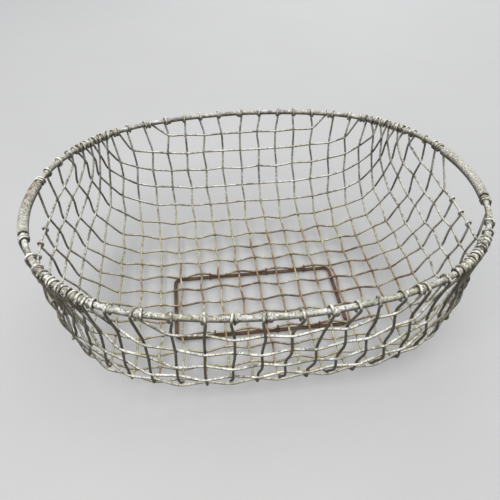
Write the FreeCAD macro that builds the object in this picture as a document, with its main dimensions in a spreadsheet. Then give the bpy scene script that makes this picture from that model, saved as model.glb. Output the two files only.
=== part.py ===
"""Oval wire gathering basket: a woven wire bowl hung from a heavy rod rim.

Millimetres, +Z up.  The origin is on the ground under the middle of the bowl.
X runs along the oval from the left grip to the right grip, and +Y is the back.
Cross wires run front to back, long wires run left to right, and the two sets pass
over and under each other.  Every wire that reaches the rim is coiled round it.
"""
import FreeCAD
import Part
import Sketcher
import math
import os
import random

Vector = FreeCAD.Vector
UP = Vector(0, 0, 1)

SIZES = {
    # the mesh
    "cross_wire_pitch": 29.4,
    "long_wire_pitch": 30.0,
    "wire_diameter": 3.0,
    "cross_crimp": 1.45,
    "long_crimp": 1.85,
    # hand weaving: each crossing is knocked sideways by turns, slips a little by chance,
    # and the middle of the mesh has drifted to the right
    "weave_zigzag": 1.0,
    "weave_slip": 1.3,
    "mesh_drift": 7.0,
    # the bowl that the mesh is bent to, measured on the middle of the wires; its oval
    # outline has plan_power at the rim and bottom_power at the bottom
    "half_length": 287.0,
    "half_width": 223.0,
    "bowl_depth": 180.0,
    "upright_height": 810.0,
    "plan_power": 2.32,
    "bottom_power": 3.7,
    "wall_power": 6.5,
    # the rim rod and its three bend radii
    "rim_diameter": 7.0,
    "end_radius": 240.0,
    "corner_radius": 194.0,
    "side_radius": 520.0,
    "rim_seam": 1.0,
    # the wires' ends
    "coil_lead": 4.2,
    "coil_turns": 0.8333,
    "grip_coil_turns": 1.6667,
    "coil_spacing": 0.8,
    # a crossing less than this below the rim is left out, and its two wires end side by side
    "rim_margin": 18.0,
    # how far the front ends of the middle cross wires lean to the right, up the whole wall
    "front_lean": 12.0,
    "fit_gap": 0.15,
    # the sliding grips, and how far round the rim each has moved from the oval's end
    "left_grip_length": 106.0,
    "left_grip_shift": 7.0,
    "right_grip_length": 120.0,
    "right_grip_shift": 9.0,
    "grip_diameter": 13.0,
    "grip_bore": 8.0,
    "grip_slide": 2.5,
    "grip_end_gap": 2.0,
    "grip_edge": 0.8,
    # the frame under the bowl
    "base_rod": 5.0,
    "base_length": 240.0,
    "base_width": 120.0,
    "base_corner": 9.0,
    "tie_diameter": 1.6,
}

CROSS_EACH_SIDE = 12
ROWS_EACH_SIDE = 11
# Long wires that end on the outermost cross wires, which leaves the handholds open.
HANDHOLD_ROWS = (10, 11, 12)
# Long wires that end against the back and the front of each grip.
GRIP_ROWS = (9, 13)
# The ties stand between these cross wires and the next ones to the right.
TIE_COLUMNS = (-3, 0, 2)
# Only the cross wires between these lean on the front wall.
LEAN_COLUMNS = 5

# How much of the shorter run beside it a bend takes up, in the mesh and in a coil.
BEND_SHARE = 0.26
COIL_SHARE = 0.45
COIL_SIDES = 6
# A wire that leans more than this share of its last run is coiled on the way that it leans.
SLANT_SHARE = 0.4
NET_STEPS = 400
SPREAD_STEPS = 2000
CORNER_STEPS = 4
SLOPE_STEP = 0.01
SMALL = 1e-3


# ---------------------------------------------------------------- the sheet

doc = FreeCAD.newDocument("wire_basket")
sheet = doc.addObject("Spreadsheet::Sheet", "sizes")
for line, (alias, value) in enumerate(SIZES.items(), start=1):
    sheet.set(f"A{line}", alias)
    sheet.set(f"B{line}", str(value))
    sheet.setAlias(f"B{line}", alias)
doc.recompute()

wire_radius = sheet.wire_diameter / 2
rim_radius = sheet.rim_diameter / 2
# The basket stands on the ties round the base frame's rod, and the mesh lies on the rod.
rod_height = sheet.tie_diameter + sheet.fit_gap + sheet.base_rod / 2
mesh_height = rod_height + sheet.base_rod / 2 + sheet.fit_gap + wire_radius + sheet.long_crimp
rim_height = mesh_height + sheet.bowl_depth


# ---------------------------------------------------------------- the bowl

def outline_power(point):
    """The power of the bowl's oval outline, which is squarer towards the bottom."""
    fall = min(1, max(0, 1 - point.z / sheet.bowl_depth))
    return sheet.plan_power + (sheet.bottom_power - sheet.plan_power) * fall ** 2


def plan_sum(point):
    """0 on the bowl's middle axis and 1 on an upright wall under the rim."""
    share_x = abs(point.x) / sheet.half_length
    share_y = abs(point.y) / sheet.half_width
    power = outline_power(point)
    return share_x ** power + share_y ** power


# The bowl is the bottom of a taller egg, whose wall would stand upright at upright_height.
RIM_SHARE = 1 - (1 - sheet.bowl_depth / sheet.upright_height) ** sheet.wall_power


def bowl_value(point):
    """Negative inside the bowl, zero on it and positive outside."""
    plan = plan_sum(point) ** (sheet.wall_power / outline_power(point))
    fall = 1 - point.z / sheet.upright_height
    return RIM_SHARE * plan + fall ** sheet.wall_power - 1


def bowl_slope(point):
    """The gradient of bowl_value, which points out of the bowl."""
    rises = []
    for way in (Vector(1, 0, 0), Vector(0, 1, 0), UP):
        rises.append(bowl_value(point + way * SLOPE_STEP) - bowl_value(point - way * SLOPE_STEP))
    return Vector(*rises) / (2 * SLOPE_STEP)


def onto_bowl(point):
    slope = bowl_slope(point)
    return point - slope * (bowl_value(point) / slope.dot(slope))


def at_distance(point, centre, distance):
    return centre + (point - centre).normalize() * distance


def net_quarter():
    """Crossings of one quarter of the mesh, whose cells keep their sides as they shear.

    Key (column, row): column 0 is the middle cross wire and row 0 is the first long wire
    behind the middle.
    """
    crossings = {}
    sideways = Vector(sheet.cross_wire_pitch, 0, 0)
    backwards = Vector(0, sheet.long_wire_pitch, 0)
    for row in range(ROWS_EACH_SIDE + 1):
        for column in range(CROSS_EACH_SIDE + 2):
            beside = crossings.get((column - 1, row))
            below = crossings.get((column, row - 1))
            corner = crossings.get((column - 1, row - 1))
            if beside and below:
                point = beside + below - corner
            elif beside:
                before = crossings.get((column - 2, row), beside - sideways)
                point = beside * 2 - before
            elif below:
                before = crossings.get((column, row - 2), below - backwards)
                point = below * 2 - before
            else:
                point = backwards / 2
            for _ in range(NET_STEPS):
                if beside:
                    point = at_distance(point, beside, sheet.cross_wire_pitch)
                else:
                    point.x = 0
                if below:
                    point = at_distance(point, below, sheet.long_wire_pitch)
                else:
                    point.y = sheet.long_wire_pitch / 2
                point = onto_bowl(point)
            crossings[column, row] = point
    return crossings


quarter = net_quarter()


def crossing(column, row):
    """Crossing of cross wire column (-12 to 12) and long wire row (0 at the back to 21)."""
    if row < ROWS_EACH_SIDE:
        point = quarter[abs(column), ROWS_EACH_SIDE - 1 - row]
        return Vector(math.copysign(point.x, column), point.y, point.z)
    point = quarter[abs(column), row - ROWS_EACH_SIDE]
    return Vector(math.copysign(point.x, column), -point.y, point.z)


def is_woven(column, row):
    return crossing(column, row).z < sheet.bowl_depth - sheet.rim_margin


def lean_of(column):
    """How far the front end of a cross wire has moved to the right along the rim."""
    return sheet.front_lean * max(0, 1 - (column / LEAN_COLUMNS) ** 2)


def hand_slips():
    """How far every crossing has slipped along the bowl, the same on every run."""
    chance = random.Random(5)
    slips = {}
    for column in range(-CROSS_EACH_SIDE, CROSS_EACH_SIDE + 1):
        for row in range(2 * ROWS_EACH_SIDE):
            slip = Vector(chance.uniform(-1, 1), chance.uniform(-1, 1), chance.uniform(-1, 1))
            slip *= sheet.weave_slip
            knock = sheet.weave_zigzag * (-1) ** (column + row)
            slip += Vector(knock, knock, 0)
            slip.x += sheet.mesh_drift * max(0, 1 - plan_sum(crossing(column, row)))
            if row >= ROWS_EACH_SIDE:
                slip.x += lean_of(column) * crossing(column, row).z / sheet.bowl_depth
            slips[column, row] = slip
    return slips


HAND_SLIPS = hand_slips()


def woven_point(column, row, along_cross):
    """Where a wire passes a crossing: over it or under it, by turns."""
    point = onto_bowl(crossing(column, row) + HAND_SLIPS[column, row])
    if abs(column) == CROSS_EACH_SIDE and row in HANDHOLD_ROWS:
        crimp = 0
    else:
        crimp = sheet.cross_crimp if along_cross else -sheet.long_crimp
    if (column + row) % 2:
        crimp = -crimp
    return point + bowl_slope(point).normalize() * crimp + UP * mesh_height


# ---------------------------------------------------------------- the rim's line

def rim_arcs():
    """The oval's arcs in order, counter-clockwise from the right end."""
    end = Vector(sheet.half_length - sheet.end_radius, 0, 0)
    side = Vector(0, sheet.half_width - sheet.side_radius, 0)
    # The corner's centre is where two circles about those centres meet.
    reach_end = sheet.end_radius - sheet.corner_radius
    reach_side = sheet.side_radius - sheet.corner_radius
    between = side - end
    span = between.Length
    along = (reach_end ** 2 - reach_side ** 2 + span ** 2) / (2 * span)
    across = math.sqrt(reach_end ** 2 - along ** 2)
    ahead = between.normalize()
    meetings = [end + ahead * along + ahead.cross(UP) * side_step for side_step in (across, -across)]
    corner = max(meetings, key=lambda point: point.x + point.y)
    end_turn = math.atan2(corner.y - end.y, corner.x - end.x)
    side_turn = math.atan2(corner.y - side.y, corner.x - side.x)
    quarter_arcs = [
        (end, sheet.end_radius, 0, end_turn),
        (corner, sheet.corner_radius, end_turn, side_turn),
        (side, sheet.side_radius, side_turn, math.pi / 2),
    ]
    half = list(quarter_arcs)
    for centre, radius, start, stop in reversed(quarter_arcs):
        half.append((Vector(-centre.x, centre.y, 0), radius, math.pi - stop, math.pi - start))
    full = list(half)
    for centre, radius, start, stop in half:
        full.append((centre * -1, radius, math.pi + start, math.pi + stop))
    return full


RIM_ARCS = rim_arcs()
RIM_LENGTH = sum(radius * (stop - start) for _, radius, start, stop in RIM_ARCS)


def rim_place(length):
    """Point and direction of the rim's middle line at a length round it."""
    length %= RIM_LENGTH
    for centre, radius, start, stop in RIM_ARCS:
        if length <= radius * (stop - start):
            break
        length -= radius * (stop - start)
    turn = start + length / radius
    point = centre + Vector(math.cos(turn), math.sin(turn), 0) * radius
    return point + UP * rim_height, Vector(-math.sin(turn), math.cos(turn), 0)


def rim_length_at(point):
    """Length round the rim of its place nearest to a point of the bowl."""
    choices = []
    length = 0
    for centre, radius, start, stop in RIM_ARCS:
        turn = math.atan2(point.y - centre.y, point.x - centre.x) % (2 * math.pi)
        if start <= turn <= stop:
            miss = abs(math.hypot(point.x - centre.x, point.y - centre.y) - radius)
            choices.append((miss, length + radius * (turn - start)))
        length += radius * (stop - start)
    return min(choices)[1]


# ---------------------------------------------------------------- the wires' ends on the rim

def coil_width(turns):
    return turns * sheet.coil_lead + sheet.wire_diameter


def grip_sizes(side):
    """A grip's length and its shift round the rim, counter-clockwise."""
    if side == "left":
        return sheet.left_grip_length, sheet.left_grip_shift
    return sheet.right_grip_length, sheet.right_grip_shift


def grip_end(is_back, side):
    """The place round the rim of the coil at one end of a grip."""
    length, shift = grip_sizes(side)
    clear = sheet.grip_slide + sheet.grip_end_gap
    reach = length / 2 + clear + coil_width(sheet.grip_coil_turns) / 2
    middle = shift + (0 if side == "right" else RIM_LENGTH / 2)
    onward = is_back == (side == "right")
    return (middle + (reach if onward else -reach)) % RIM_LENGTH


def column_rows(column):
    return [row for row in range(2 * ROWS_EACH_SIDE) if is_woven(column, row)]


def row_columns(row):
    wanted = range(-CROSS_EACH_SIDE, CROSS_EACH_SIDE + 1)
    return [column for column in wanted if is_woven(column, row)]


def natural_place(last, beyond, forward):
    """Where a wire meets the rim, from its last crossing and the one past it.

    Where that next crossing is just below the rim, the wire stops short of it by half
    a coil, on the side that it comes from.
    """
    below_rim = sheet.bowl_depth - last.z
    climb = beyond.z - last.z
    if beyond.z > sheet.bowl_depth:
        return rim_length_at(last + (beyond - last) * (below_rim / climb))
    backing = coil_width(sheet.coil_turns) / 2
    return rim_length_at(beyond) + (-backing if forward else backing)


def list_ends():
    """Every wire end on the rim: its key, its place round the rim and its turns."""
    ends = []
    for column in range(-CROSS_EACH_SIDE, CROSS_EACH_SIDE + 1):
        rows = column_rows(column)
        for name, last, step in (("back", rows[0], -1), ("front", rows[-1], 1)):
            beyond = crossing(column, last + step) if 0 <= last + step < 2 * ROWS_EACH_SIDE else None
            if beyond is None:
                outer = quarter[abs(column), ROWS_EACH_SIDE]
                beyond = Vector(math.copysign(outer.x, column), -step * outer.y, outer.z)
            forward = (column >= 0) == (name == "back")
            place = natural_place(crossing(column, last), beyond, forward)
            if name == "front":
                place += lean_of(column)
            ends.append([("cross", column, name), place, sheet.coil_turns])
    for row in range(2 * ROWS_EACH_SIDE):
        if row in HANDHOLD_ROWS:
            continue
        is_back = row < ROWS_EACH_SIDE
        columns = row_columns(row)
        for name, last, step in (("left", columns[0], -1), ("right", columns[-1], 1)):
            nearest = grip_end(is_back, name)
            if row in GRIP_ROWS:
                ends.append([("long", row, name), nearest, sheet.grip_coil_turns])
                continue
            # No other wire ends nearer to a grip than the grip's own coils.
            forward = is_back != (name == "right")
            place = natural_place(crossing(last, row), crossing(last + step, row), forward)
            place = min(place, nearest - SMALL) if forward else max(place, nearest + SMALL)
            ends.append([("long", row, name), place, sheet.coil_turns])
    return sorted(ends, key=lambda end: end[1])


def spread_ends(ends):
    """Push neighbouring coils apart until none overlap; the grips' end coils stay put."""
    for _ in range(SPREAD_STEPS):
        moved = False
        for near, far in zip(ends, ends[1:] + ends[:1]):
            room = (far[1] - near[1]) % RIM_LENGTH
            need = (coil_width(near[2]) + coil_width(far[2])) / 2 + sheet.coil_spacing
            if room > RIM_LENGTH / 2 or room < need - SMALL:
                short = need - (room if room < RIM_LENGTH / 2 else room - RIM_LENGTH)
                near_fixed = near[2] == sheet.grip_coil_turns
                far_fixed = far[2] == sheet.grip_coil_turns
                near[1] -= 0 if near_fixed else short * (1 if far_fixed else 0.5)
                far[1] += 0 if far_fixed else short * (1 if near_fixed else 0.5)
                moved = True
        if not moved:
            break
    return {key: (place, turns) for key, place, turns in ends}


RIM_ENDS = spread_ends(list_ends())


# ---------------------------------------------------------------- bent wire

def coil_corners(centre, axis, outward, radius, turns, first_side):
    """Corner points of a coil of wire round an axis; the wire comes in on the outward side.

    The coil starts half its width before its centre and runs forward along the axis.
    """
    upward = first_side
    corner_radius = radius / math.cos(math.pi / COIL_SIDES)
    step = 2 * math.pi / COIL_SIDES
    corners = []
    count = round(turns * COIL_SIDES)
    for number in range(-1, count):
        turn = (number + 0.5) * step
        forward = sheet.coil_lead * (turn / (2 * math.pi) - turns / 2)
        spoke = outward * math.cos(turn) + upward * math.sin(turn)
        corners.append(centre + axis * forward + spoke * corner_radius)
    turn = count * step
    spoke = outward * math.cos(turn) + upward * math.sin(turn)
    corners.append(centre + axis * (sheet.coil_lead * turns / 2) + spoke * radius)
    return corners


def rim_coil(key, last_point):
    """The coil that ends a wire on the rim.

    It runs on the way that a slanting wire leans, and so does a grip's.  Where a wire comes
    nearly square to the rim, it runs back, away from the wire that was crossed last.
    """
    place, turns = RIM_ENDS[key]
    point, along = rim_place(place)
    lean = (point - last_point).dot(along)
    slants = abs(lean) > SLANT_SHARE * (point - last_point).Length
    runs_on = slants or turns == sheet.grip_coil_turns
    axis = along if (lean >= 0) == runs_on else along * -1
    radius = rim_radius + wire_radius + sheet.fit_gap
    return coil_corners(point, axis, along.cross(UP), radius, turns, UP)


def handhold_coil(column, row):
    """The coil that ends a long wire on the outermost cross wire."""
    centre = woven_point(column, row, False)
    outward = bowl_slope(crossing(column, row)).normalize()
    axis = woven_point(column, row + 1, True) - woven_point(column, row - 1, True)
    axis = (axis - outward * axis.dot(outward)).normalize()
    upward = axis.cross(outward)
    if upward.z < 0:
        upward = upward * -1
    radius = sheet.wire_diameter + sheet.fit_gap
    return coil_corners(centre, axis, outward, radius, sheet.coil_turns, upward)


def corner_points(passes, first_corners, last_corners):
    """Corners of a wire's path whose arcs pass through the given points."""
    ahead = list(reversed(first_corners))
    corners = ahead + [Vector(point) for point in passes] + list(last_corners)
    offset = len(ahead)
    for _ in range(CORNER_STEPS):
        for number, point in enumerate(passes):
            here = number + offset
            if 0 < here < len(corners) - 1:
                before = corners[here] - corners[here - 1]
                after = corners[here + 1] - corners[here]
                bend = before.getAngle(after)
                if bend > SMALL:
                    tangent = BEND_SHARE * min(before.Length, after.Length)
                    outward = (before.normalize() - after.normalize()).normalize()
                    corners[here] = point + outward * tangent * math.tan(bend / 4)
    return corners, offset, offset + len(passes)


def rounded_edges(corners, first_woven, last_woven):
    """Straight runs joined by tangent arcs."""
    edges = []
    start = corners[0]
    for here in range(1, len(corners) - 1):
        before = corners[here] - corners[here - 1]
        after = corners[here + 1] - corners[here]
        share = BEND_SHARE if first_woven <= here < last_woven else COIL_SHARE
        tangent = share * min(before.Length, after.Length)
        bend = before.getAngle(after)
        if bend < SMALL:
            continue
        ahead = before.normalize()
        onward = after.normalize()
        arc_start = corners[here] - ahead * tangent
        arc_stop = corners[here] + onward * tangent
        sag = tangent * math.tan(bend / 4)
        middle = corners[here] + (onward - ahead).normalize() * sag
        edges.append(Part.LineSegment(start, arc_start).toShape())
        edges.append(Part.Arc(arc_start, middle, arc_stop).toShape())
        start = arc_stop
    edges.append(Part.LineSegment(start, corners[-1]).toShape())
    return edges


def swept_rod(edges, radius):
    """A round rod along a path of tangent edges."""
    path = Part.Wire(edges)
    start = edges[0].valueAt(edges[0].FirstParameter)
    heading = edges[0].tangentAt(edges[0].FirstParameter)
    section = Part.Wire(Part.makeCircle(radius, start, heading))
    return path.makePipeShell([section], True, False)


def wire_shape(passes, first_corners, last_corners):
    corners, first_woven, last_woven = corner_points(passes, first_corners, last_corners)
    return swept_rod(rounded_edges(corners, first_woven, last_woven), wire_radius)


def cross_wire_shape(column):
    rows = column_rows(column)
    passes = [woven_point(column, row, True) for row in rows]
    back = rim_coil(("cross", column, "back"), passes[0])
    front = rim_coil(("cross", column, "front"), passes[-1])
    return wire_shape(passes, back, front)


def long_wire_shape(row):
    columns = row_columns(row)
    if row in HANDHOLD_ROWS:
        passes = [woven_point(column, row, False) for column in columns[1:-1]]
        left = handhold_coil(columns[0], row)
        right = handhold_coil(columns[-1], row)
    else:
        passes = [woven_point(column, row, False) for column in columns]
        left = rim_coil(("long", row, "left"), passes[0])
        right = rim_coil(("long", row, "right"), passes[-1])
    return wire_shape(passes, left, right)


# ---------------------------------------------------------------- the sub-parts

parts = []


def add_feature(name, shape):
    feature = doc.addObject("Part::Feature", name)
    feature.Label = name
    feature.Shape = shape
    feature.Placement = FreeCAD.Placement()
    parts.append(feature)


def rim_shape():
    """The rim rod, whose two ends butt inside the left grip."""
    edges = []
    seam_turn = sheet.rim_seam / 2 / sheet.end_radius
    half = len(RIM_ARCS) // 2
    ordered = RIM_ARCS[half:] + RIM_ARCS[:half]
    for number, (centre, radius, start, stop) in enumerate(ordered):
        start += seam_turn if number == 0 else 0
        stop -= seam_turn if number == len(ordered) - 1 else 0
        points = []
        for turn in (start, (start + stop) / 2, stop):
            spoke = Vector(math.cos(turn), math.sin(turn), 0) * radius
            points.append(centre + spoke + UP * rim_height)
        edges.append(Part.Arc(*points).toShape())
    return swept_rod(edges, rim_radius)


def add_grip(side):
    """A tube sleeve, bent to the rim's end arc, that slides a little along it."""
    name = f"grip_{side}"
    turn = f"sizes.{side}_grip_length / sizes.end_radius * 180 / pi"
    rings = []
    for part, size in (("sleeve", "sizes.grip_diameter"), ("bore", "sizes.grip_bore")):
        ring = doc.addObject("Part::Torus", f"{name}_{part}")
        ring.setExpression("Radius1", "sizes.end_radius")
        ring.setExpression("Radius2", f"{size} / 2")
        ring.setExpression("Angle3", turn)
        rings.append(ring)
    cut = doc.addObject("Part::Cut", f"{name}_tube")
    cut.Base, cut.Tool = rings
    doc.recompute()
    rounded = doc.addObject("Part::Fillet", name)
    rounded.Label = name
    rounded.Base = cut
    edges = []
    for number, edge in enumerate(cut.Shape.Edges, start=1):
        is_ring = isinstance(edge.Curve, Part.Circle)
        if is_ring and abs(edge.Curve.Radius - sheet.grip_diameter / 2) < SMALL and edge.isClosed():
            edges.append((number, sheet.grip_edge, sheet.grip_edge))
    rounded.Edges = edges
    length, shift = grip_sizes(side)
    start = math.degrees((shift - length / 2) / sheet.end_radius)
    centre = Vector(sheet.half_length - sheet.end_radius, 0, rim_height)
    if side == "left":
        centre.x = -centre.x
        start += 180
    cut.Placement = FreeCAD.Placement()
    rounded.Placement = FreeCAD.Placement(centre, FreeCAD.Rotation(UP, start))
    parts.append(rounded)


def bind(sketch, label, constraint, expression):
    """Adds a dimension to a sketch and binds it to the sheet."""
    number = sketch.addConstraint(constraint)
    sketch.renameConstraint(number, label)
    sketch.setExpression(f"Constraints.{label}", expression)


def add_base_frame():
    """One rod bent to a rounded rectangle, on the ground under the mesh."""
    body = doc.addObject("PartDesign::Body", "base_frame")
    body.Label = "base_frame"
    planes = {plane.Role: plane for plane in body.Origin.OriginFeatures}

    path = body.newObject("Sketcher::SketchObject", "base_frame_path")
    path.AttachmentSupport = [(planes["XY_Plane"], "")]
    path.MapMode = "FlatFace"
    half_x = sheet.base_length / 2
    half_y = sheet.base_width / 2
    bend = sheet.base_corner
    centres = [(half_x - bend, half_y - bend), (bend - half_x, half_y - bend),
               (bend - half_x, bend - half_y), (half_x - bend, bend - half_y)]
    for number, (x, y) in enumerate(centres):
        circle = Part.Circle(Vector(x, y, 0), UP, bend)
        path.addGeometry(Part.ArcOfCircle(circle, number * math.pi / 2, (number + 1) * math.pi / 2))
    for number in range(4):
        start = path.Geometry[number].EndPoint
        stop = path.Geometry[(number + 1) % 4].StartPoint
        path.addGeometry(Part.LineSegment(start, stop))
    for number in range(4):
        path.addConstraint(Sketcher.Constraint("Tangent", number, 2, 4 + number, 1))
        path.addConstraint(Sketcher.Constraint("Tangent", 4 + number, 2, (number + 1) % 4, 1))
    for number in range(3):
        path.addConstraint(Sketcher.Constraint("Equal", number, number + 1))
    path.addConstraint(Sketcher.Constraint("Horizontal", 4))
    path.addConstraint(Sketcher.Constraint("Symmetric", 1, 3, 3, 3, -1, 1))
    bind(path, "bend", Sketcher.Constraint("Radius", 0, bend), "sizes.base_corner")
    bind(path, "length", Sketcher.Constraint("DistanceX", 1, 3, 0, 3, 2 * (half_x - bend)),
         "sizes.base_length - 2 * sizes.base_corner")
    bind(path, "width", Sketcher.Constraint("DistanceY", 3, 3, 0, 3, 2 * (half_y - bend)),
         "sizes.base_width - 2 * sizes.base_corner")

    section = body.newObject("Sketcher::SketchObject", "base_frame_section")
    section.AttachmentSupport = [(planes["YZ_Plane"], "")]
    section.MapMode = "FlatFace"
    section.addGeometry(Part.Circle(Vector(half_y, 0, 0), UP, sheet.base_rod / 2))
    section.addConstraint(Sketcher.Constraint("PointOnObject", 0, 3, -1))
    bind(section, "across", Sketcher.Constraint("DistanceX", -1, 1, 0, 3, half_y),
         "sizes.base_width / 2")
    bind(section, "rod", Sketcher.Constraint("Diameter", 0, sheet.base_rod), "sizes.base_rod")

    rod = body.newObject("PartDesign::AdditivePipe", "base_frame_rod")
    rod.Profile = section
    rod.Spine = (path, [])
    body.Placement = FreeCAD.Placement(base_centre(), FreeCAD.Rotation())
    parts.append(body)


def base_centre():
    """The frame lies under the two grip rows."""
    middle = (crossing(0, GRIP_ROWS[0]).y + crossing(0, GRIP_ROWS[1]).y) / 2
    return Vector(0, middle, rod_height)


def tie_shape(column, row):
    """A closed loop of thin wire round the frame's rod and the long wire that lies on it."""
    middle = (woven_point(column, row, False) + woven_point(column + 1, row, False)) / 2
    side = 1 if row == GRIP_ROWS[0] else -1
    rod = base_centre() + Vector(0, side * sheet.base_width / 2, 0)
    rod.x = middle.x
    reach = sheet.tie_diameter / 2 + sheet.fit_gap
    low = sheet.base_rod / 2 + reach
    high = wire_radius + reach
    centres = [(rod, low), (middle, high)]
    ahead = (centres[1][0] - centres[0][0])
    span = ahead.Length
    lean = math.acos((low - high) / span)
    heading = math.atan2(ahead.z, ahead.y)

    def on_circle(which, turn):
        centre, radius = centres[which]
        return centre + Vector(0, math.cos(turn), math.sin(turn)) * radius

    marks = [
        on_circle(0, heading + lean), on_circle(0, heading + math.pi), on_circle(0, heading - lean),
        on_circle(1, heading - lean), on_circle(1, heading), on_circle(1, heading + lean),
    ]
    edges = [
        Part.Arc(marks[0], marks[1], marks[2]).toShape(),
        Part.LineSegment(marks[2], marks[3]).toShape(),
        Part.Arc(marks[3], marks[4], marks[5]).toShape(),
        Part.LineSegment(marks[5], marks[0]).toShape(),
    ]
    return swept_rod(edges, sheet.tie_diameter / 2)


add_feature("rim", rim_shape())
add_grip("left")
add_grip("right")
add_base_frame()
for column in range(-CROSS_EACH_SIDE, CROSS_EACH_SIDE + 1):
    add_feature(f"cross_wire_{column + CROSS_EACH_SIDE + 1:02d}", cross_wire_shape(column))
for row in range(2 * ROWS_EACH_SIDE):
    add_feature(f"long_wire_{row + 1:02d}", long_wire_shape(row))
for number, (row, column) in enumerate((r, c) for r in GRIP_ROWS for c in TIE_COLUMNS):
    add_feature(f"frame_tie_{number + 1}", tie_shape(column, row))


# ---------------------------------------------------------------- checks and export

doc.recompute()
for item in doc.Objects:
    if "Invalid" in item.State or "Error" in item.State:
        raise RuntimeError(f"{item.Label} failed: {item.State}")
for part in parts:
    if part.Shape.isNull() or not part.Shape.isValid() or part.Shape.Volume <= 0:
        raise RuntimeError(f"{part.Label} has no valid shape")

os.makedirs("parts", exist_ok=True)
for part in parts:
    part.Shape.exportStep(os.path.join("parts", part.Label + ".step"))
print(len(parts), "sub-parts written")
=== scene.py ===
"""Looks for the oval wire gathering basket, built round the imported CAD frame."""

import math
import random
from typing import NamedTuple

import bmesh
import bpy
import numpy as np
from mathutils import Matrix, Vector
from mathutils.kdtree import KDTree


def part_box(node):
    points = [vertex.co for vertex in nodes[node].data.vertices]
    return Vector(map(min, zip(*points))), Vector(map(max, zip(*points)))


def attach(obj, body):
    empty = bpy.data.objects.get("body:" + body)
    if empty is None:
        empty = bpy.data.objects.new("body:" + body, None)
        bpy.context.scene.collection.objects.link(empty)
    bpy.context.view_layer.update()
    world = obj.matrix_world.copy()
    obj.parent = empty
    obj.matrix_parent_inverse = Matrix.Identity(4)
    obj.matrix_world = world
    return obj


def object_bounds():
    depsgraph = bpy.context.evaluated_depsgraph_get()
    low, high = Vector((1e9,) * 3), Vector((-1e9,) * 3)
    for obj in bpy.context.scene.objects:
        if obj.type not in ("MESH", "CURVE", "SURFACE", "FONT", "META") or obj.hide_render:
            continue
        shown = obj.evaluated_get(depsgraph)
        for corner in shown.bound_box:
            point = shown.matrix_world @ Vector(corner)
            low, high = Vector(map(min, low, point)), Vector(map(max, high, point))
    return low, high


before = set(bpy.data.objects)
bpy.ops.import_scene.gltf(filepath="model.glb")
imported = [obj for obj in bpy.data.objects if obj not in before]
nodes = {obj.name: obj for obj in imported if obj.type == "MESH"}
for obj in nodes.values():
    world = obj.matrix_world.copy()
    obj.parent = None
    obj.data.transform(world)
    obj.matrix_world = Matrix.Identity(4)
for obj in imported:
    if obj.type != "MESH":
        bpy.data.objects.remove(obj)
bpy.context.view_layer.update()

RIM_LOW, RIM_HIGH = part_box("rim")
RIM_Z = (RIM_LOW.z + RIM_HIGH.z) / 2
RIM_RADIUS = (RIM_HIGH.z - RIM_LOW.z) / 2
UP = Vector((0, 0, 1))


# ---------------------------------------------------------------- how a material is written

class Clouds(NamedTuple):
    """Soft noise from 0 to 1: its lumps per metre, octaves and roughness, and a shift of its place."""
    lumps: float
    octaves: float
    rough: float
    shift: float = 0.0


class Layer(NamedTuple):
    """A patchy colour. Its share goes from start, where the clouds are at low, to stop at high."""
    colour: tuple
    clouds: Clouds
    low: float
    high: float
    start: float = 0.0
    stop: float = 1.0


class Specks(NamedTuple):
    """Round specks: how many lie in a metre, a shift, their full and outer radii as shares of
    their spacing, and their strength."""
    per_metre: float
    shift: float
    full: float
    outer: float
    strength: float


# ---------------------------------------------------------------- colours and clouds

ZINC_GREY = (0.215, 0.208, 0.165)
ZINC_WHITE = (0.850, 0.845, 0.780)
CROSS_ZINC = (0.720, 0.700, 0.580)
LONG_ZINC = (0.900, 0.885, 0.790)
PATINA = (0.300, 0.280, 0.150)
OLIVE = (0.290, 0.245, 0.105)
OLIVE_PALE = (0.430, 0.400, 0.230)
OLIVE_WHITE = (0.640, 0.610, 0.430)
RUST_DARK = (0.050, 0.025, 0.014)
RUST_BROWN = (0.130, 0.066, 0.034)
RUST_MID = (0.230, 0.140, 0.078)
RUST_ORANGE = (0.240, 0.118, 0.050)
RUST_TAN = (0.370, 0.235, 0.110)
# Dark specks, and the colour of the painted shade in crevices.
GRIME_AND_CREVICE_SHADE = (0.026, 0.022, 0.015)
# The colour of the painted shade below things and on the front wall.
PAINTED_SHADE_BROWN = (0.056, 0.048, 0.031)

RIM_GREY = (0.300, 0.298, 0.265)
RIM_PALE = (0.640, 0.640, 0.600)
RIM_YELLOW = (0.390, 0.380, 0.255)
RIM_DULL = (0.165, 0.155, 0.125)
RIM_BROWN = (0.170, 0.120, 0.072)

GRIP_GREY = (0.360, 0.350, 0.295)
GRIP_PALE = (0.520, 0.510, 0.450)
GRIP_WHITE = (0.800, 0.790, 0.720)
GRIP_DARK = (0.095, 0.086, 0.064)
GRIP_SPECK = (0.120, 0.108, 0.080)
GRIP_RUST_DARK = (0.115, 0.060, 0.036)
GRIP_RUST_PALE = (0.270, 0.150, 0.088)

ROD_DARK = (0.068, 0.036, 0.020)
ROD_BRIGHT = (0.145, 0.078, 0.040)

# Patches in the painted shade.
PAINTED_SHADE_PATCHES = Clouds(110.0, 3.0, 0.60, 2.2)

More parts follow.
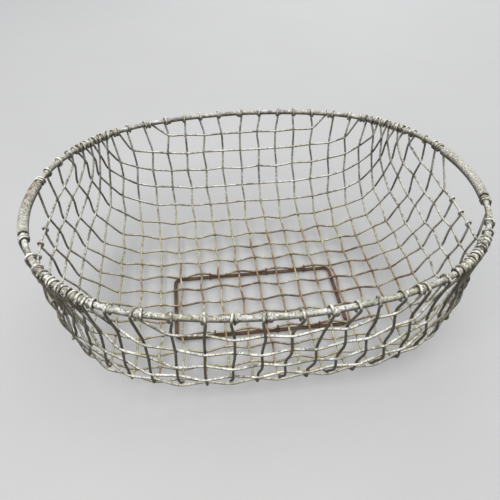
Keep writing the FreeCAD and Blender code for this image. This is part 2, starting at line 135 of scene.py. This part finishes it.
WIRE_BLOTCHES = Clouds(48.0, 4.0, 0.62)
WIRE_GRAIN = Clouds(340.0, 4.0, 0.65, 3.1)
WIRE_TOOTH = Clouds(1500.0, 2.0, 0.60, 4.4)
WIRE_TINGE = Clouds(17.0, 3.0, 0.50, 7.7)
WIRE_FLECKS = Clouds(240.0, 3.0, 0.60, 6.4)
WIRE_SPECKS = Specks(340.0, 0.4, 0.12, 0.32, 0.85)
WORN_BLOTCHES = Clouds(42.0, 3.0, 0.50, 9.1)
WORN_CHIPS = Clouds(130.0, 4.0, 0.65, 8.8)
WORN_SPOTS = Clouds(95.0, 4.0, 0.65, 4.9)
RUST_BLOTCHES = Clouds(60.0, 4.0, 0.60, 5.3)
RUST_BREAKS = Clouds(24.0, 4.0, 0.60, 1.9)
RUST_EDGE = Clouds(14.0, 4.0, 0.60, 3.3)

RIM_BLOTCHES = Clouds(55.0, 5.0, 0.65)
RIM_GRAIN = Clouds(330.0, 4.0, 0.68, 2.7)
RIM_TINGE = Clouds(21.0, 4.0, 0.60, 6.1)
RIM_FLECKS = Clouds(220.0, 3.0, 0.60, 5.1)
RIM_STAINS = Clouds(38.0, 4.0, 0.60, 8.3)
RIM_SPECKS = Specks(300.0, 0.7, 0.12, 0.30, 0.85)

GRIP_BLOTCHES = Clouds(42.0, 5.0, 0.62, 1.2)
GRIP_SAND = Clouds(560.0, 3.0, 0.75, 3.9)
GRIP_RUST_BREAKS = Clouds(48.0, 5.0, 0.65, 4.2)
GRIP_SPECKS = Specks(520.0, 0.9, 0.12, 0.30, 0.75)

ROD_BLOTCHES = Clouds(60.0, 5.0, 0.65, 2.4)
ROD_SCALE = Clouds(420.0, 5.0, 0.70, 5.8)


# ---------------------------------------------------------------- surfaces

# A Mix node's sockets for colours have the same names as those for numbers.
MIX_COLOURS_IN = (6, 7)
MIX_COLOUR_OUT = 2
CREVICE_SAMPLES = 6
# How open a crevice is, from 0 to 1, where its painted shade is full and where it is gone.
CREVICE_OPENINGS = (0.30, 0.85)
# The share of painted crevice shade where it is full.
CREVICE_SHADE = 0.88


class Surface:
    """A procedural material, and the short words that its recipe is written in."""

    def __init__(self, name):
        self.material = bpy.data.materials.new(name)
        self.material.use_nodes = True
        self.tree = self.material.node_tree
        self.tree.nodes.clear()
        self.shader = self.tree.nodes.new("ShaderNodeBsdfPrincipled")
        output = self.tree.nodes.new("ShaderNodeOutputMaterial")
        self.tree.links.new(self.shader.outputs["BSDF"], output.inputs["Surface"])
        # where a point is on the object at rest, in metres
        self.place = self.tree.nodes.new("ShaderNodeTexCoord").outputs["Object"]
        self.noises = {}

    def put(self, socket, value):
        """Links a socket to another one, or sets its value."""
        if isinstance(value, bpy.types.NodeSocket):
            self.tree.links.new(value, socket)
        else:
            socket.default_value = value

    def shifted(self, *shift):
        """The place on the object, with a shift added."""
        node = self.tree.nodes.new("ShaderNodeVectorMath")
        node.operation = "ADD"
        self.put(node.inputs[0], self.place)
        self.put(node.inputs[1], shift)
        return node.outputs[0]

    def noise(self, clouds):
        """The height of some clouds, from 0 to 1. What names the same clouds shares one node."""
        if clouds not in self.noises:
            node = self.tree.nodes.new("ShaderNodeTexNoise")
            shift = clouds.shift
            self.put(node.inputs["Vector"], self.shifted(shift, shift * 0.7, -shift * 1.3))
            self.put(node.inputs["Scale"], clouds.lumps)
            self.put(node.inputs["Detail"], clouds.octaves)
            self.put(node.inputs["Roughness"], clouds.rough)
            self.noises[clouds] = node.outputs["Fac"]
        return self.noises[clouds]

    def ramp(self, value, low, high, start=0.0, stop=1.0):
        """A smooth step from start at low to stop at high."""
        node = self.tree.nodes.new("ShaderNodeMapRange")
        node.interpolation_type = "SMOOTHSTEP"
        self.put(node.inputs["Value"], value)
        self.put(node.inputs["From Min"], low)
        self.put(node.inputs["From Max"], high)
        self.put(node.inputs["To Min"], start)
        self.put(node.inputs["To Max"], stop)
        return node.outputs["Result"]

    def maths(self, operation, first, second):
        node = self.tree.nodes.new("ShaderNodeMath")
        node.operation = operation
        self.put(node.inputs[0], first)
        self.put(node.inputs[1], second)
        return node.outputs[0]

    def product(self, first, *others):
        for other in others:
            first = self.maths("MULTIPLY", first, other)
        return first

    def mix(self, share, first, second):
        """A mix of two colours, with only the second at a share of 1."""
        node = self.tree.nodes.new("ShaderNodeMix")
        node.data_type = "RGBA"
        self.put(node.inputs["Factor"], share)
        for socket, colour in zip(MIX_COLOURS_IN, (first, second)):
            self.put(node.inputs[socket], (*colour, 1.0) if isinstance(colour, tuple) else colour)
        return node.outputs[MIX_COLOUR_OUT]

    def layered(self, colour, *layers):
        """A colour with layers of others on it, the last one on top."""
        for layer in layers:
            share = self.ramp(self.noise(layer.clouds), layer.low, layer.high, layer.start, layer.stop)
            colour = self.mix(share, colour, layer.colour)
        return colour

    def speckled(self, colour, specks, dark):
        node = self.tree.nodes.new("ShaderNodeTexVoronoi")
        shift = specks.shift
        self.put(node.inputs["Vector"], self.shifted(shift, -shift, shift * 0.6))
        self.put(node.inputs["Scale"], specks.per_metre)
        share = self.ramp(node.outputs["Distance"], specks.full, specks.outer, specks.strength, 0.0)
        return self.mix(share, colour, dark)

    def component(self, vector, axis):
        node = self.tree.nodes.new("ShaderNodeSeparateXYZ")
        self.put(node.inputs[0], vector)
        return node.outputs[axis]

    def position(self, axis):
        return self.component(self.place, axis)

    def facing(self, axis):
        """How far the surface faces along an axis, from -1 to 1."""
        return self.component(self.tree.nodes.new("ShaderNodeNewGeometry").outputs["Normal"], axis)

    def crevice_shade(self, reach):
        """Painted crevice shade: 1 where other metal is close, such as between two turns or at a crossing.
        """
        node = self.tree.nodes.new("ShaderNodeAmbientOcclusion")
        node.samples = CREVICE_SAMPLES
        self.put(node.inputs["Distance"], reach)
        return self.ramp(node.outputs["AO"], *CREVICE_OPENINGS, 1.0, 0.0)

    def painted_shade(self, colour, full, none, reach, most=0.92):
        """Painted shade: darker on what faces down or sideways, and in the crevices.

        full and none say how far up a surface faces, from -1 to 1, where its painted shade is full
        and where it is gone; most is the share of painted shade where it is full.
        """
        # Painted shade on what faces down or sideways, a little patchy.
        below = self.ramp(self.facing("Z"), full, none, most, 0.0)
        patchy = self.ramp(self.noise(PAINTED_SHADE_PATCHES), 0.25, 0.55, 0.80, 1.0)
        colour = self.mix(self.product(below, patchy), colour, PAINTED_SHADE_BROWN)
        # Painted shade in the crevices.
        return self.mix(self.product(self.crevice_shade(reach), CREVICE_SHADE), colour, GRIME_AND_CREVICE_SHADE)

    def finished(self, colour, metallic, roughness, relief, depth, strength):
        """The material, once its shader has what the recipe worked out."""
        bump = self.tree.nodes.new("ShaderNodeBump")
        self.put(bump.inputs["Strength"], strength)
        self.put(bump.inputs["Distance"], depth)
        self.put(bump.inputs["Height"], relief)
        self.put(self.shader.inputs["Normal"], bump.outputs["Normal"])
        self.put(self.shader.inputs["Base Color"], colour)
        self.put(self.shader.inputs["Metallic"], metallic)
        self.put(self.shader.inputs["Roughness"], roughness)
        return self.material


# ---------------------------------------------------------------- materials

# Heights between which the wires go from worn to still coated.
WORN_HEIGHTS = (0.022, 0.070)
# The middle and the half lengths of the oval patch that has rusted through, on the plan.
RUSTED_MIDDLE = (0.045, 0.000)
RUSTED_REACH = (0.200, 0.125)
# The painted shade on the front wall: the Y where it is full and gone, the heights above its foot where
# it starts and is full, and those at the rim where it is full and gone.
FRONT_WALL = (-0.19, -0.13)
FRONT_FOOT = (0.025, 0.050)
FRONT_TOP = (RIM_Z, RIM_Z + 0.003)
# The Y between which the rust on the left grip grows, towards the grip's back end.
GRIP_RUST_ENDS = (-0.020, 0.020)
# How near other metal has to be for painted shade to fall between the two.
WIDE_CREVICE = 0.004
NARROW_CREVICE = 0.003


def zinc_on_wire(surface, pale):
    """Old zinc in grey and pale blotches, with a green tinge and white flecks."""
    return surface.layered(
        ZINC_GREY,
        Layer(pale, WIRE_BLOTCHES, 0.36, 0.54),
        Layer(ZINC_GREY, WIRE_GRAIN, 0.50, 0.62, 0.0, 0.75),
        Layer(PATINA, WIRE_TINGE, 0.50, 0.66, 0.0, 0.65),
        Layer(ZINC_WHITE, WIRE_FLECKS, 0.53, 0.60, 0.0, 0.90),
    )


def worn_wire(surface, spots):
    """Wire that has lost its bright zinc, with pale chips and spots of rust."""
    return surface.layered(
        OLIVE,
        Layer(OLIVE_PALE, WORN_BLOTCHES, 0.42, 0.58),
        Layer(OLIVE_WHITE, WORN_CHIPS, 0.52, 0.60, 0.0, 0.75),
        Layer(spots, WORN_SPOTS, 0.54, 0.62, 0.0, 0.70),
    )


def rusted_wire(surface, first_rust, second_rust):
    """Wire that is bare and rusted, with a few chips of zinc left."""
    return surface.layered(
        first_rust,
        Layer(second_rust, RUST_BLOTCHES, 0.42, 0.58),
        Layer(OLIVE_PALE, WORN_CHIPS, 0.52, 0.60, 0.0, 0.525),
        Layer(RUST_DARK, WIRE_GRAIN, 0.50, 0.68, 0.0, 0.75),
    )


def rusted_patch(surface):
    """1 inside a ragged oval patch of the bowl's bottom, falling to 0 outside it."""
    squares = []
    for axis, middle, reach in zip("XY", RUSTED_MIDDLE, RUSTED_REACH):
        share = surface.maths("DIVIDE", surface.maths("SUBTRACT", surface.position(axis), middle), reach)
        squares.append(surface.maths("POWER", share, 2.0))
    edge = surface.ramp(surface.noise(RUST_EDGE), 0.3, 0.7, -0.7, 0.7)
    ragged = surface.maths("ADD", surface.maths("ADD", *squares), edge)
    inside = surface.ramp(ragged, 0.45, 1.25, 1.0, 0.0)
    return surface.product(inside, surface.ramp(surface.noise(RUST_BREAKS), 0.36, 0.54))


def wire_material(name, pale, rusts, shade, front_shade):
    """Old galvanised wire: pale on top, with painted shade below, and rusted through at the bowl's bottom.

    rusts are its two colours of rust, shade is how far it faces up where its painted shade is full
    and where it is gone, and front_shade is how dark the painted shade on the bowl's front wall is.
    """
    surface = Surface(name)
    blotches = surface.noise(WIRE_BLOTCHES)
    grain = surface.noise(WIRE_GRAIN)
    height = surface.position("Z")
    worn = surface.ramp(height, *WORN_HEIGHTS, 1.0, 0.0)

    colour = zinc_on_wire(surface, pale)
    colour = surface.mix(surface.product(worn, 0.80), colour, worn_wire(surface, rusts[0]))
    colour = surface.mix(surface.product(rusted_patch(surface), worn), colour, rusted_wire(surface, *rusts))
    # Painted shade on the bowl's front wall, a little patchy.
    if front_shade:
        front = surface.product(
            surface.ramp(surface.position("Y"), *FRONT_WALL, front_shade, 0.0),
            surface.ramp(height, *FRONT_FOOT),
            surface.ramp(height, *FRONT_TOP, 1.0, 0.0),
            surface.ramp(grain, 0.34, 0.46, 0.72, 1.0),
        )
        colour = surface.mix(front, colour, PAINTED_SHADE_BROWN)
    # Painted shade below and in the crevices.
    colour = surface.painted_shade(colour, *shade, WIDE_CREVICE)
    colour = surface.speckled(colour, WIRE_SPECKS, GRIME_AND_CREVICE_SHADE)

    coated = surface.maths("SUBTRACT", 1.0, worn)
    metallic = surface.product(surface.ramp(blotches, 0.35, 0.65, 0.24, 0.05), coated)
    roughness = surface.ramp(grain, 0.30, 0.70, 0.55, 0.85)
    relief = surface.maths("ADD", grain, surface.product(surface.noise(WIRE_TOOTH), 0.5))
    return surface.finished(colour, metallic, roughness, relief, depth=0.0007, strength=0.9)


def rim_material():
    """The rim: off-white zinc with a yellowish patina, and brown painted shade below."""
    surface = Surface("galvanised_rim")
    blotches = surface.noise(RIM_BLOTCHES)
    grain = surface.noise(RIM_GRAIN)
    colour = surface.layered(
        RIM_GREY,
        Layer(RIM_PALE, RIM_BLOTCHES, 0.36, 0.56),
        Layer(RIM_YELLOW, RIM_TINGE, 0.48, 0.60, 0.0, 0.7),
        Layer(RIM_DULL, RIM_GRAIN, 0.51, 0.60, 0.0, 0.85),
        Layer(ZINC_WHITE, RIM_FLECKS, 0.55, 0.62, 0.0, 0.75),
        Layer(RIM_BROWN, RIM_STAINS, 0.58, 0.68, 0.0, 0.8),
    )
    # Painted shade below and in the crevices.
    colour = surface.painted_shade(colour, full=0.02, none=1.02, reach=WIDE_CREVICE)
    colour = surface.speckled(colour, RIM_SPECKS, GRIME_AND_CREVICE_SHADE)

    metallic = surface.ramp(blotches, 0.35, 0.65, 0.22, 0.04)
    roughness = surface.ramp(grain, 0.30, 0.70, 0.52, 0.84)
    relief = surface.maths("ADD", grain, surface.product(blotches, 0.8))
    return surface.finished(colour, metallic, roughness, relief, depth=0.0010, strength=0.9)


def rust_on_grip(surface, colour, strength):
    """Broken rust over the back half of a grip, most of it on the outer side."""
    back = surface.ramp(surface.position("Y"), *GRIP_RUST_ENDS)
    outer = surface.ramp(surface.facing("X"), -0.1, 0.5, 1.0, 0.35)
    broken = surface.ramp(surface.noise(GRIP_RUST_BREAKS), 0.36, 0.56)
    rust = surface.layered(GRIP_RUST_DARK, Layer(GRIP_RUST_PALE, GRIP_SAND, 0.40, 0.60))
    return surface.mix(surface.product(back, outer, strength, broken), colour, rust)


def grip_material(name, rust_strength):
    """Dull sandy zinc, with painted shade below."""
    surface = Surface(name)
    sand = surface.noise(GRIP_SAND)
    colour = surface.layered(
        GRIP_GREY,
        Layer(GRIP_PALE, GRIP_BLOTCHES, 0.38, 0.62),
        Layer(GRIP_WHITE, GRIP_SAND, 0.51, 0.60, 0.0, 0.95),
        Layer(GRIP_DARK, GRIP_SAND, 0.40, 0.49, 0.95, 0.0),
    )
    colour = surface.speckled(colour, GRIP_SPECKS, GRIP_SPECK)
    if rust_strength:
        colour = rust_on_grip(surface, colour, rust_strength)
    # Painted shade below and in the crevices.
    colour = surface.painted_shade(colour, full=-0.15, none=0.75, reach=NARROW_CREVICE)

    roughness = surface.ramp(sand, 0.30, 0.70, 0.70, 0.95)
    relief = surface.maths("ADD", sand, surface.product(surface.noise(GRIP_BLOTCHES), 0.6))
    return surface.finished(
        colour, metallic=0.05, roughness=roughness, relief=relief, depth=0.0009, strength=1.0)


def rust_material(name, dark, bright):
    """Bare rod, scaled with rust."""
    surface = Surface(name)
    scale = surface.noise(ROD_SCALE)
    colour = surface.layered(
        dark,
        Layer(bright, ROD_BLOTCHES, 0.38, 0.62),
        Layer(RUST_ORANGE, ROD_SCALE, 0.50, 0.64, 0.0, 0.55),
        Layer(RUST_DARK, ROD_SCALE, 0.34, 0.48, 0.90, 0.0),
    )
    # Painted shade below and in the crevices.
    colour = surface.painted_shade(colour, full=-0.40, none=0.70, reach=NARROW_CREVICE, most=0.80)

    roughness = surface.ramp(scale, 0.30, 0.70, 0.80, 0.98)
    relief = surface.maths("ADD", scale, surface.noise(ROD_BLOTCHES))
    return surface.finished(
        colour, metallic=0.0, roughness=roughness, relief=relief, depth=0.0011, strength=1.0)


MATERIALS = {
    # The shade pairs set the painted shade below each kind of wire; the cross wires also get painted shade
    # on the bowl's front wall.
    "cross": wire_material(
        "galvanised_cross_wire", CROSS_ZINC, (RUST_ORANGE, RUST_TAN), shade=(-0.30, 0.88), front_shade=0.85),
    "long": wire_material(
        "galvanised_long_wire", LONG_ZINC, (RUST_BROWN, RUST_MID), shade=(0.05, 0.90), front_shade=0.0),
    "rim": rim_material(),
    "grip_left": grip_material("galvanised_left_grip", rust_strength=0.9),
    "grip_right": grip_material("galvanised_right_grip", rust_strength=0.0),
    "base": rust_material("rusted_base_rod", ROD_DARK, ROD_BRIGHT),
    "tie": rust_material("rusted_tie_wire", RUST_DARK, RUST_BROWN),
}


def material_key(name):
    for key in ("cross", "long", "grip_left", "grip_right", "rim", "base"):
        if name.startswith(key):
            return key
    return "tie"


# ---------------------------------------------------------------- surface relief

class Relief(NamedTuple):
    """Lumps that stand out of a surface: their size, octaves and height from low to high."""
    size: float
    octaves: int
    height: float


RELIEFS = {
    "cross": Relief(0.006, 2, 0.00032),
    "long": Relief(0.006, 2, 0.00032),
    "rim": Relief(0.010, 3, 0.00070),
    "grip_left": Relief(0.012, 3, 0.00030),
    "grip_right": Relief(0.012, 3, 0.00030),
    "base": Relief(0.004, 4, 0.00070),
    "tie": Relief(0.003, 2, 0.00025),
}


def lumps(key):
    texture = bpy.data.textures.new(key + "_lumps", "CLOUDS")
    texture.noise_scale = RELIEFS[key].size
    texture.noise_depth = RELIEFS[key].octaves
    return texture


LUMPS = {key: lumps(key) for key in RELIEFS}


def finish_surface(piece, key):
    """Gives a piece its material and its relief."""
    piece.data.materials.clear()
    piece.data.materials.append(MATERIALS[key])
    relief = piece.modifiers.new("relief", "DISPLACE")
    relief.texture = LUMPS[key]
    relief.texture_coords = "GLOBAL"
    relief.direction = "NORMAL"
    relief.mid_level = 0.5
    relief.strength = RELIEFS[key].height


for name, node in nodes.items():
    finish_surface(node, material_key(name))


# ---------------------------------------------------------------- zinc in the joints

# The basket was dipped after it was woven, so zinc fills the corners where wires meet.
CROSSING_REACH = 0.00075
WRAP_REACH = 0.0030
BEAD_RADII = (0.0018, 0.0022)
BEAD_SUBDIVISIONS = 2
COLLAR_HALF_LENGTHS = (0.0038, 0.0054)
COLLAR_RISES = (0.0012, 0.0019)
COLLAR_ROOT = 0.80 * RIM_RADIUS
COLLAR_RINGS = 9
COLLAR_SIDES = 16
CHANCE = random.Random(11)

CROSS_WIRES = [name for name in nodes if name.startswith("cross")]
LONG_WIRES = [name for name in nodes if name.startswith("long")]


def corner_points(node):
    """A node's corner points, one row each."""
    flat = np.empty(len(node.data.vertices) * 3, dtype=np.float32)
    node.data.vertices.foreach_get("co", flat)
    return np.unique(flat.reshape(-1, 3), axis=0)


POINTS = {name: corner_points(node) for name, node in nodes.items()}


def contacts(first, second, reach):
    """The touching places of each pair of nodes, one node from each list."""
    tree = KDTree(sum(len(POINTS[name]) for name in second))
    owners = []
    for name in second:
        for point in POINTS[name]:
            tree.insert(point, len(owners))
            owners.append(name)
    tree.balance()
    places = {}
    for name in first:
        for point in POINTS[name]:
            other, index, distance = tree.find(point)
            if distance < reach:
                places.setdefault((name, owners[index]), []).append((Vector(point) + other) / 2)
    return places


def add_piece(name, builder, key):
    """Adds a piece of zinc to the basket, from the mesh in a builder."""
    mesh = bpy.data.meshes.new(name)
    bmesh.ops.recalc_face_normals(builder, faces=builder.faces)
    builder.to_mesh(mesh)
    builder.free()
    mesh.polygons.foreach_set("use_smooth", [True] * len(mesh.polygons))
    piece = bpy.data.objects.new(name, mesh)
    bpy.context.scene.collection.objects.link(piece)
    finish_surface(piece, key)
    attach(piece, "basket")


def add_beads():
    """Adds a bead of zinc between the two wires of every crossing."""
    builder = bmesh.new()
    for places in contacts(CROSS_WIRES, LONG_WIRES, CROSSING_REACH).values():
        middle = Vector(np.median(np.array(places), axis=0))
        bmesh.ops.create_icosphere(
            builder, subdivisions=BEAD_SUBDIVISIONS, radius=CHANCE.uniform(*BEAD_RADII),
            matrix=Matrix.Translation(middle))
    add_piece("zinc_beads", builder, "cross")


def rim_line(spot):
    """The point of the rim's middle line beside a spot, and the line's direction there."""
    distances = np.linalg.norm(POINTS["rim"] - np.array(spot), axis=1)
    near = POINTS["rim"][distances < 4 * RIM_RADIUS]
    middle = near.mean(axis=0)
    direction = np.linalg.svd(near - middle, full_matrices=False)[2][0]
    middle, direction = Vector(middle), Vector(direction)
    middle.z = RIM_Z
    direction.z = 0
    direction.normalize()
    return middle + direction * (spot - middle).dot(direction), direction


def add_collar(builder, middle, direction):
    """Adds a swelling of the rim: a spindle whose ends are inside the rod."""
    half = CHANCE.uniform(*COLLAR_HALF_LENGTHS)
    rise = CHANCE.uniform(*COLLAR_RISES) + RIM_RADIUS - COLLAR_ROOT
    across = direction.cross(UP)
    rings = []
    for ring in range(COLLAR_RINGS):
        share = 2 * ring / (COLLAR_RINGS - 1) - 1
        radius = COLLAR_ROOT + rise * math.cos(share * math.pi / 2)
        corners = []
        for side in range(COLLAR_SIDES):
            turn = 2 * math.pi * side / COLLAR_SIDES
            spoke = across * math.cos(turn) + UP * math.sin(turn)
            corners.append(builder.verts.new(middle + direction * half * share + spoke * radius))
        rings.append(corners)
    for near, far in zip(rings, rings[1:]):
        for side in range(COLLAR_SIDES):
            onward = (side + 1) % COLLAR_SIDES
            builder.faces.new((near[side], near[onward], far[onward], far[side]))
    builder.faces.new(rings[0])
    builder.faces.new(rings[-1])


def add_collars():
    """Adds a collar of zinc where each end of a wire is wrapped round the rim."""
    builder = bmesh.new()
    wraps = contacts(CROSS_WIRES + LONG_WIRES, ["rim"], WRAP_REACH)
    for (name, _), places in sorted(wraps.items()):
        axis = 0 if name in LONG_WIRES else 1
        for side in (-1, 1):
            end = [place for place in places if place[axis] * side > 0]
            if end:
                spot = Vector(np.mean(np.array(end), axis=0))
                add_collar(builder, *rim_line(spot))
    add_piece("zinc_collars", builder, "rim")


add_beads()
add_collars()


# ---------------------------------------------------------------- floor, light and camera

FLOOR_HALF_WIDTH = 12.0
FLOOR_GAP = 0.0003
FLOOR_CLOUDS = Clouds(3.0, 4.0, 0.60)
FLOOR_GREY = (0.455, 0.455, 0.455)
FLOOR_PALE = (0.465, 0.465, 0.465)

WHITE = (1.0, 1.0, 1.0)
WARM = (1.0, 0.98, 0.95)
SKY_COLOUR = (0.88, 0.90, 0.94)
SKY_STRENGTH = 0.42

CAMERA_AZIMUTH = math.radians(-6.762)
CAMERA_ELEVATION = math.radians(39.732)
CAMERA_ROLL = math.radians(-0.186)
CAMERA_DISTANCE = 0.8824
CAMERA_TARGET = Vector((0.0022, 0.0964, 0.010))
CAMERA_LENS = 38.88
CAMERA_SENSOR = 36.0
CAMERA_RANGE = (0.01, 50.0)


def floor_material():
    surface = Surface("pale_floor")
    colour = surface.layered(FLOOR_GREY, Layer(FLOOR_PALE, FLOOR_CLOUDS, 0.3, 0.7))
    surface.put(surface.shader.inputs["Base Color"], colour)
    surface.put(surface.shader.inputs["Roughness"], 0.9)
    return surface.material


def add_floor():
    builder = bmesh.new()
    bmesh.ops.create_grid(builder, x_segments=1, y_segments=1, size=FLOOR_HALF_WIDTH)
    mesh = bpy.data.meshes.new("floor")
    builder.to_mesh(mesh)
    builder.free()
    mesh.materials.append(floor_material())
    floor = bpy.data.objects.new("floor", mesh)
    floor.location.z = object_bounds()[0].z - FLOOR_GAP
    bpy.context.scene.collection.objects.link(floor)


def towards(azimuth, elevation):
    """The direction from the origin towards an azimuth and an elevation, in radians."""
    level = math.cos(elevation)
    return Vector((math.sin(azimuth) * level, -math.cos(azimuth) * level, math.sin(elevation)))


def add_soft_light(name, azimuth, elevation, distance, size, power, tint):
    """Adds a round lamp that faces the object's origin; angles are in degrees."""
    data = bpy.data.lights.new(name, "AREA")
    data.shape = "DISK"
    data.size = size
    data.energy = power
    data.color = tint
    light = bpy.data.objects.new(name, data)
    back = towards(math.radians(azimuth), math.radians(elevation))
    light.location = back * distance
    light.rotation_mode = "QUATERNION"
    light.rotation_quaternion = back.to_track_quat("Z", "Y")
    bpy.context.scene.collection.objects.link(light)


def add_open_sky(azimuth, elevation, spread, strength):
    """Adds a wide patch of sky, whose light is the same all over the floor; angles are in degrees."""
    data = bpy.data.lights.new("sky", "SUN")
    data.angle = math.radians(spread)
    data.energy = strength
    light = bpy.data.objects.new("sky", data)
    light.rotation_euler = (math.radians(90 - elevation), 0, math.radians(azimuth))
    bpy.context.scene.collection.objects.link(light)


def add_world():
    world = bpy.data.worlds.new("studio")
    world.use_nodes = True
    background = world.node_tree.nodes["Background"]
    background.inputs["Color"].default_value = (*SKY_COLOUR, 1.0)
    background.inputs["Strength"].default_value = SKY_STRENGTH
    bpy.context.scene.world = world


def add_camera():
    """Adds the camera, which sees the object as the photograph does."""
    data = bpy.data.cameras.new("camera")
    data.lens = CAMERA_LENS
    data.sensor_width = CAMERA_SENSOR
    data.clip_start, data.clip_end = CAMERA_RANGE
    backward = towards(CAMERA_AZIMUTH, CAMERA_ELEVATION)
    right = UP.cross(backward).normalized()
    upward = backward.cross(right)
    rolled_right = right * math.cos(CAMERA_ROLL) + upward * math.sin(CAMERA_ROLL)
    rolled_up = upward * math.cos(CAMERA_ROLL) - right * math.sin(CAMERA_ROLL)
    turned = Matrix((rolled_right, rolled_up, backward)).transposed()
    place = Matrix.Translation(CAMERA_TARGET + backward * CAMERA_DISTANCE)
    camera = bpy.data.objects.new("camera", data)
    camera.matrix_world = place @ turned.to_4x4()
    bpy.context.scene.collection.objects.link(camera)
    bpy.context.scene.camera = camera


add_floor()
add_open_sky(azimuth=20, elevation=76, spread=75, strength=1.95)
add_soft_light("key", azimuth=-35, elevation=48, distance=2.4, size=1.2, power=24, tint=WARM)
add_soft_light("back", azimuth=160, elevation=40, distance=2.6, size=1.8, power=18, tint=WHITE)
add_world()
bpy.context.scene.view_settings.view_transform = "Standard"
add_camera()
